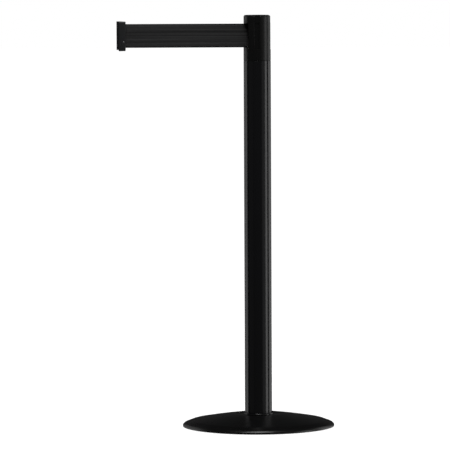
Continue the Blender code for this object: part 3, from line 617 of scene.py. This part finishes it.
screwShape = {
    "head": 2.4 * mm, "shank": 1.4 * mm, "headHeight": 2.7 * mm, "ease": 0.4 * mm,
    "socket": 1.35 * mm, "socketDepth": 1.4 * mm}


def makeCapScrew(number, seat):
    # socket-head screw: a turned head with an eased edge and a six-sided socket in its top
    shape = screwShape
    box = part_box(f"cap_screw_{number}")
    low, high = box[0][2], box[1][2]
    head, shank, under = shape["head"], shape["shank"], high - shape["headHeight"]
    screw = turned(f"capScrew{number}", softened([
        (0.0, low, 0), (shank, low, shape["ease"]), (shank, under, 0), (head, under, 0.1 * mm),
        (head, high, shape["ease"]), (0.0, high, 0)], closed=False),
        finishes["zinc_steel"], seat, 48)
    corner = np.arange(6) * math.pi / 3
    socket = np.column_stack((np.cos(corner), np.sin(corner))) * shape["socket"] + seat
    carved(screw, [raised("socketTool", socket, high - shape["socketDepth"], high + 1 * mm)])
    finish(screw, "stand", f"cap_screw_{number}")


spoolShape = {
    "flangeBore": 6.3 * mm, "flangeEdge": 0.35 * mm, "caseBore": 4.9 * mm, "caseWall": 1.6 * mm,
    "core": 8.3 * mm, "turns": 44, "turnStep": 0.18 * mm, "rows": 24, "wave": 0.04 * mm}


def makeSpoolParts():
    for name, node in (("lowerFlange", "spool_lower_flange"), ("upperFlange", "spool_upper_flange")):
        makeFlange(name, node)
    makeSpringCase()
    makeRoll()
    makePin("guidePin", "guide_pin", "stand", 0.4 * mm, 48)
    print("spool made")


def makeFlange(name, node):
    # a flat ring with a softened rim
    inner, edge = spoolShape["flangeBore"], spoolShape["flangeEdge"]
    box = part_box(node)
    outer, low, high = box[1][0], box[0][2], box[1][2]
    flange = turned(name, softened([
        (inner, low, 0), (outer, low, edge), (outer, high, edge), (inner, high, 0)]),
        finishes["white_nylon"], sides=128)
    finish(flange, "spool", node)


def makeSpringCase():
    # an open tray: a thin floor and an upright wall
    inner, wall = spoolShape["caseBore"], spoolShape["caseWall"]
    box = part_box("spring_case")
    outer, low, high = box[1][0], box[0][2], box[1][2]
    case = turned("springCase", softened([
        (inner, low, 0), (outer, low, 0.6 * mm), (outer, high, 0.2 * mm),
        (outer - wall, high, 0.2 * mm), (outer - wall, low + wall, 0), (inner, low + wall, 0)]),
        finishes["white_nylon"], sides=128)
    finish(case, "spool", "spring_case")


def makeRoll():
    # the wound belt: its ends step in and out by a hair from turn to turn, and its side waves
    shape = spoolShape
    inner, outer, turns = shape["core"], beltBox[1][0], shape["turns"] * 2
    radii = np.linspace(outer - 0.1 * mm, inner, turns)
    ridge = np.where(np.arange(turns) % 2 == 0, 0.0, shape["turnStep"])
    levels = np.linspace(beltLow + 0.3 * mm, beltHigh - 0.3 * mm, shape["rows"])
    wave = shape["wave"] * (1 - np.cos(np.linspace(0, 12 * math.pi, shape["rows"])))
    profile = np.concatenate((
        np.column_stack((radii[::-1], beltLow + ridge[::-1])),
        np.column_stack((outer - wave, levels)),
        np.column_stack((radii, beltHigh - ridge))))
    angle = np.arange(128) * 2 * math.pi / 128
    points = np.stack((profile[:, :1] * np.cos(angle), profile[:, :1] * np.sin(angle),
                       profile[:, 1:] + 0 * angle), -1)
    flat = np.stack((outer * angle[None] + 0 * profile[:, :1],
                     profile[:, 1:] - beltLow + 0 * angle[None]), -1)
    finish(surface("woundBelt", points, weave, flat=flat), "spool", "belt_roll")


beltShape = {
    "thick": 0.8 * mm, "wrap": 50.0, "loop": 290.0, "rows": 46, "swell": 0.10 * mm,
    "swellIn": 1.1 * mm, "swellWidth": 0.6 * mm, "edgeRound": 0.5 * mm, "rib": 0.03 * mm,
    "ribPitch": 6.1 * mm, "longRun": 10 * mm}


def arc(centre, radius, start, end, steps):
    angle = np.linspace(start, end, steps)
    return np.column_stack((np.cos(angle), np.sin(angle))) * radius + centre


def beltPath():
    # off the roll, over the guide pin, straight out, and looped round the clip's pin
    shape = beltShape
    offset = gap + shape["thick"] / 2
    rollLine = beltBox[1][0] + offset
    guide, pin = np.array(middleOf(guideBox)), np.array(middleOf(pinBox))
    guideLine = (guideBox[1][0] - guideBox[0][0]) / 2 + offset
    loopLine = (pinBox[1][0] - pinBox[0][0]) / 2 + offset
    apart = np.linalg.norm(guide)
    turn = math.atan2(guide[1], guide[0]) + math.acos(-(rollLine + guideLine) / apart)
    leave = math.atan2(-math.sin(turn), -math.cos(turn))
    return np.concatenate((
        arc((0, 0), rollLine, leave - math.radians(shape["wrap"]), leave, 24),
        arc(guide, guideLine, turn, -math.pi / 2, 20),
        arc(pin, loopLine, -math.pi / 2, -math.pi / 2 - math.radians(shape["loop"]), 48)))


def acrossPath(path):
    # unit normals; where a long straight run begins or ends, its own direction is the tangent
    before = np.concatenate((path[:1], path[:-1]))
    after = np.concatenate((path[1:], path[-1:]))
    toNext, toLast = after - path, path - before
    nextLength, lastLength = np.linalg.norm(toNext, axis=1), np.linalg.norm(toLast, axis=1)
    runAhead, runBehind = nextLength > beltShape["longRun"], lastLength > beltShape["longRun"]
    along = after - before
    along[runAhead] = toNext[runAhead]
    along[runBehind] = toLast[runBehind]
    along /= np.linalg.norm(along, axis=1)[:, None]
    return np.column_stack((-along[:, 1], along[:, 0]))


def beltSection():
    # flat faces with fine ribs, a thicker woven selvedge, and each edge rounded over
    shape = beltShape
    rise = (1 - np.cos(np.linspace(0, math.pi, shape["rows"]))) / 2
    fromEdge = np.minimum(rise, 1 - rise) * beltWidth
    swell = shape["swell"] * np.exp(-((fromEdge - shape["swellIn"]) / shape["swellWidth"]) ** 2)
    nearEdge = np.clip(fromEdge / shape["edgeRound"], 0, 1)
    ribs = shape["rib"] * np.sin(rise * beltWidth * 2 * math.pi / shape["ribPitch"])
    rounded = np.sqrt(nearEdge * (2 - nearEdge))
    thick = (shape["thick"] / 2 - 0.05 * mm + swell * 0.6 + ribs) * rounded
    side = np.concatenate((thick, -thick[::-1][1:-1]))
    level = np.concatenate((rise, rise[::-1][1:-1])) * beltWidth
    return side, level


def makeBelt():
    # the section carried along the path, upright
    path = beltPath()
    across = acrossPath(path)
    side, level = beltSection()
    step = np.linalg.norm(np.diff(path, axis=0), axis=1)
    length = np.concatenate(([0.0], np.cumsum(step)))
    flatPoints = path[:, None, :] + across[:, None, :] * side[None, :, None]
    points = np.concatenate((flatPoints, np.broadcast_to(
        (beltLow + level)[None, :, None], (*flatPoints.shape[:2], 1))), -1)
    # both ends close to a line through the middle of the band
    cap = points.copy()[[0, -1]]
    cap[..., :2] = path[[0, -1]][:, None, :]
    points = np.concatenate((cap[:1], points, cap[1:]))
    flat = np.stack((
        np.broadcast_to(np.concatenate(([0], length, [length[-1]]))[:, None], points.shape[:2]),
        np.broadcast_to(level[None], points.shape[:2])), -1)
    belt = surface("beltWebbing", points, weave, closeAlong=False, flat=flat, sharp=60.0)
    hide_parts("belt")
    guideAt, pinAt = middleOf(guideBox)[0], middleOf(pinBox)[0]
    guideAt - 0.5 * mm
    pinAt + 1.0 * mm
    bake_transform(belt)
    print("belt made", round(float(length[-1]), 3), "m shown")


clipShape = {
    "neckLength": 3.1 * mm, "plate": 1.6 * mm, "neckHalf": 5.5 * mm, "plateHalf": 9.3 * mm,
    "round": 3.4 * mm, "edge": 1.6 * mm, "taperTop": 1.0 * mm, "taperBottom": 0.5 * mm,
    "slotHalf": 3.0 * mm, "slotFlare": 1.6 * mm, "slotMargin": 0.5 * mm, "slotEase": 1.2 * mm,
    "slotMouth": 0.6 * mm, "pocket": 3.4 * mm, "pinHole": 1.8 * mm, "pinHoleUnder": 5.5 * mm,
    "plateBelow": 4.5 * mm, "plateAbove": 0.2 * mm, "past": 9 * mm, "screwHead": 2.3 * mm,
    "screwShank": 1.2 * mm, "cornerSteps": 9, "sinkEase": 0.5 * mm, "sinkDepth": 1.5 * mm}


def makeClip():
    # the block with its tongue and screw, then the pin that the belt's loop turns on
    makeClipBlock()
    makePin("beltPin", "belt_pin", "belt_end", 0.3 * mm, 40)
    print("clip made")


def makeClipBlock():
    # block lofted along the belt's run: each section is a rounded rectangle that tapers a
    # little towards the belt and draws in over a quarter round at both ends
    shape = clipShape
    low, high = clipBox
    back, front, depth = low[0] + shape["neckLength"] + shape["plate"], high[0], high[1]
    stations = softened([
        (back, -4 * mm, 0), (back, 0.0, shape["edge"]), (front, 0.0, shape["edge"]),
        (front, -4 * mm, 0)], closed=False)[1:-1]
    sections = []
    for x, drawn in stations:
        inset, share = -drawn, (x - back) / (front - back)
        top = high[2] - shape["taperTop"] * share - inset
        bottom = low[2] + shape["taperBottom"] * share + inset
        wide = depth - inset
        radius = shape["round"] - 0.6 * inset
        outline = np.concatenate([
            arc(centre, radius, turn, turn + math.pi / 2, shape["cornerSteps"])
            for centre, turn in (
                ((wide - radius, top - radius), 0.0),
                ((-wide + radius, top - radius), math.pi / 2),
                ((-wide + radius, bottom + radius), math.pi),
                ((wide - radius, bottom + radius), 1.5 * math.pi))])
        sections.append(np.column_stack((np.full(len(outline), x), outline)))
    sections = np.array(sections)
    first, last = (np.broadcast_to(section.mean(0), section.shape) for section in sections[[0, -1]])
    rings = np.concatenate((first[None], sections, last[None]))
    block = surface("clipBlock", rings, clipPlastic, closeAlong=False)
    carved(block, [tongueTool(back)], "UNION")
    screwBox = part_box("clip_screw")
    middle = middleOf(screwBox, xAxis, zAxis)
    carved(block, [slotTool(front), *pinTools(high[2]), sinkTool(middle, -depth)])
    finish(block, "clip", "clip_body")
    makeClipScrew(screwBox, middle)


def tongueTool(back):
    # a T in plan: a plate on a narrower neck
    shape = clipShape
    face, neck, plate = clipBox[0][0], shape["neckHalf"], shape["plateHalf"]
    step, root = face + shape["plate"], back + 2 * mm
    return raised("tongueTool", softened([
        (face, -plate, 0.5 * mm), (step, -plate, 0.3 * mm), (step, -neck, 0.4 * mm),
        (root, -neck, 0), (root, neck, 0), (step, neck, 0.4 * mm),
        (step, plate, 0.3 * mm), (face, plate, 0.5 * mm)]),
        beltLow - shape["plateBelow"], clipBox[1][2] - shape["plateAbove"])


def slotTool(front):
    # the belt's slot, from the pin out through the front, where it flares
    shape = clipShape
    pin, half, ease = middleOf(pinBox)[0], shape["slotHalf"], shape["slotEase"]
    flared, mouth, far = half + shape["slotFlare"], front + shape["slotMouth"], front + shape["past"]
    return raised("slotTool", softened([
        (pin, -half, 0), (front - ease, -half, ease), (mouth, -flared, 0), (far, -flared, 0),
        (far, flared, 0), (mouth, flared, 0), (front - ease, half, ease), (pin, half, 0)]),
        beltLow - shape["slotMargin"], beltHigh + shape["slotMargin"])


def pinTools(top):
    # a round pocket for the belt's loop, and a bore for the pin, open at the top
    shape = clipShape
    centre = middleOf(pinBox)
    pocketLow, pocketHigh = beltLow - shape["slotMargin"], beltHigh + shape["slotMargin"]
    boreLow, boreHigh = beltLow - shape["pinHoleUnder"], top + shape["past"]
    pocket, hole = shape["pocket"], shape["pinHole"]
    return (
        turned("pocketTool", [(0.0, pocketLow), (pocket, pocketLow), (pocket, pocketHigh),
                              (0.0, pocketHigh)], None, centre, 64),
        turned("boreTool", [(0.0, boreLow), (hole, boreLow), (hole, boreHigh),
                            (0.0, boreHigh)], None, centre, 40))


def sinkTool(middle, face):
    # the screw's flat seat, its rim opened out a little at the face
    shape = clipShape
    bowl, rim, past = shape["screwHead"], shape["screwHead"] + shape["sinkEase"], shape["past"]
    sink = turned("sinkTool", [
        (0.0, -past), (rim, -past), (rim, 0.0), (bowl, 0.45 * mm), (bowl, shape["sinkDepth"]),
        (0.0, shape["sinkDepth"])], None, (0, 0), 64)
    laid(sink, middle, face)
    return sink


def laid(thing, middle, face):
    # turns an upright piece so that its axis runs along +Y from a face, and keeps it in the mesh
    count = len(thing.data.vertices)
    points = np.empty(count * 3)
    thing.data.vertices.foreach_get("co", points)
    points = points.reshape(-1, 3)
    moved = np.column_stack(
        (points[:, 0] + middle[0], points[:, 2] + face, middle[1] - points[:, 1]))
    thing.data.vertices.foreach_set("co", moved.ravel())
    thing.data.update()


panShape = {
    "height": 1.2 * mm, "dome": 0.7 * mm, "arm": 1.25 * mm, "armHalf": 0.32 * mm,
    "crossDepth": 0.8 * mm}


def makeClipScrew(box, middle):
    # pan head with a cross recess
    shape = panShape
    head, shank = (box[1][0] - box[0][0]) / 2, clipShape["screwShank"]
    length, under = box[1][1] - box[0][1], shape["height"]
    screw = turned("clipScrew", softened([
        (0.0, 0.0, 0), (head, 0.0, shape["dome"]), (head, under, 0.15 * mm), (shank, under, 0),
        (shank, length, 0.4 * mm), (0.0, length, 0)], closed=False), finishes["zinc_steel"],
        (0, 0), 48)
    arms = ((shape["arm"], shape["armHalf"]), (shape["armHalf"], shape["arm"]))
    tools = [
        raised(f"crossTool{number}", [(-long, -wide), (long, -wide), (long, wide), (-long, wide)],
               -1 * mm, shape["crossDepth"]) for number, (long, wide) in enumerate(arms)]
    carved(screw, tools)
    laid(screw, middle, box[0][1])
    finish(screw, "clip", "clip_screw")


def dressFrame():
    # every CAD node takes the finish of its own material slot
    slots = {entry["node"]: entry["material_slot"] for entry in frame["record"]["subparts"]}
    for node, thing in frame["nodes"].items():
        thing.data.materials.clear()
        thing.data.materials.append(finishes[slots[node]])
    print("frame dressed")


studio = {
    "floor": 60.0, "floorGlow": 0.80, "world": 1.0, "ambient": 0.010,
    "distance": 10.0, "height": 1.184, "aimX": -0.0768, "aimZ": 0.4738, "lens": 342.4,
    "roll": -0.25}

# each softbox: azimuth from the camera's side, distance, centre height, width, height, radiance
softboxes = {
    "leftRim": (-110.0, 3.0, 0.6, 1.05, 3.4, 0.95),
    "leftBack": (-133.0, 3.0, 0.6, 1.05, 3.4, 0.45),
    "leftFar": (-152.0, 3.0, 0.6, 0.80, 3.4, 0.20),
    "rightSide": (78.0, 3.0, 0.6, 1.05, 3.4, 1.80),
    "rightRim": (117.0, 3.0, 0.6, 1.05, 3.4, 1.15),
    "rightBack": (138.0, 3.0, 0.6, 1.05, 3.4, 0.50),
    "backFill": (180.0, 4.0, 0.6, 6.0, 1.6, 0.026),
    "frontFill": (0.0, 5.0, 0.4, 7.0, 3.6, 0.060),
    "frontLeft": (-58.0, 3.6, 0.6, 2.80, 3.4, 0.075),
    "frontRight": (50.0, 3.6, 0.6, 1.60, 3.4, 0.24)}

# each high softbox: position, width, height, radiance, and the height that it is aimed at
highboxes = {
    "key": ((-0.43, -2.2, 3.0), 1.2, 1.2, 6.0, 0.6),
    "overhead": ((0.1, -0.7, 3.2), 1.0, 0.9, 9.0, 0.9)}


def softbox(name, stands, width, height, radiance, level):
    # a rectangle of even radiance, turned towards the post's axis at a level
    data = bpy.data.lights.new(name, "AREA")
    data.shape = "RECTANGLE"
    data.size, data.size_y = width, height
    data.energy = radiance * math.pi * width * height
    lamp = bpy.data.objects.new(name, data)
    bpy.context.scene.collection.objects.link(lamp)
    lamp.location = stands
    aim = np.array((0, 0, level)) - stands
    tilt, azimuth = math.atan2(math.hypot(aim[0], aim[1]), -aim[2]), math.atan2(aim[1], aim[0])
    lamp.rotation_euler = (tilt, 0.0, azimuth - math.pi / 2)
    lamp.visible_camera = False


def makeStudio():
    makeFloor()
    for name, (azimuth, far, level, width, height, radiance) in softboxes.items():
        angle = math.radians(azimuth)
        stands = (far * math.sin(angle), -far * math.cos(angle), level)
        softbox(name, stands, width, height, radiance, level)
    for name, settings in highboxes.items():
        softbox(name, *settings)
    makeWorld()
    makeCamera()
    print("studio made")


def makeFloor():
    # pale, and glowing a little more with distance, so that it meets the backdrop unseen
    half = studio["floor"] / 2
    data = bpy.data.meshes.new("studioFloor")
    data.from_pydata([(-half, -half, 0), (half, -half, 0), (half, half, 0), (-half, half, 0)], [],
                     [(0, 1, 2, 3)])
    made, shader, spot = newMaterial(
        "paleFloor", colour=(0.86, 0.86, 0.86), rough=0.9, specular=0.1)
    shader.inputs["Emission Strength"].default_value = 1.0
    away = (spot.part(xAxis) ** 2.0 + spot.part(yAxis) ** 2.0) ** 0.5
    glow = away.between(0.8, 3.0) * (1.02 - studio["floorGlow"]) + studio["floorGlow"]
    spot.tree.links.new(glow.socket, shader.inputs["Emission Color"])
    floor = linked("studioFloor", data, made)
    floor.location.z = -0.0002
    floor.visible_glossy = False
    floor.visible_diffuse = False
    floor.visible_shadow = False


def makeWorld():
    # bright to the camera, and dim to everything else
    world = bpy.data.worlds.new("studioWorld")
    bpy.context.scene.world = world
    world.use_nodes = True
    tree = world.node_tree
    start = Shade(tree, None)
    seen = start.make("ShaderNodeLightPath", None, None, "Is Camera Ray")
    tree.nodes["Background"].inputs["Color"].default_value = (1, 1, 1, 1)
    strength = seen * (studio["world"] - studio["ambient"]) + studio["ambient"]
    tree.links.new(strength.socket, tree.nodes["Background"].inputs["Strength"])
    bpy.context.scene.view_settings.view_transform = "Standard"


def makeCamera():
    # stands straight in front, tipped down to its aim and rolled by a hair
    camera = bpy.data.cameras.new("studioCamera")
    camera.lens, camera.sensor_width = studio["lens"], 36.0
    camera.clip_end = 200.0
    eye = bpy.data.objects.new("studioCamera", camera)
    bpy.context.scene.collection.objects.link(eye)
    eye.location = (studio["aimX"], -studio["distance"], studio["height"])
    dip = math.atan2(studio["height"] - studio["aimZ"], studio["distance"])
    eye.rotation_mode = "QUATERNION"
    tipped = Euler((math.pi / 2 - dip, 0, 0)).to_matrix()
    rolled = Matrix.Rotation(math.radians(studio["roll"]), 3, "Z")
    eye.rotation_quaternion = (tipped @ rolled).to_quaternion()
    bpy.context.scene.camera = eye


dressFrame()
makeBase()
makePost()
makeHead()
makeSpoolParts()
makeBelt()
makeClip()
makeStudio()
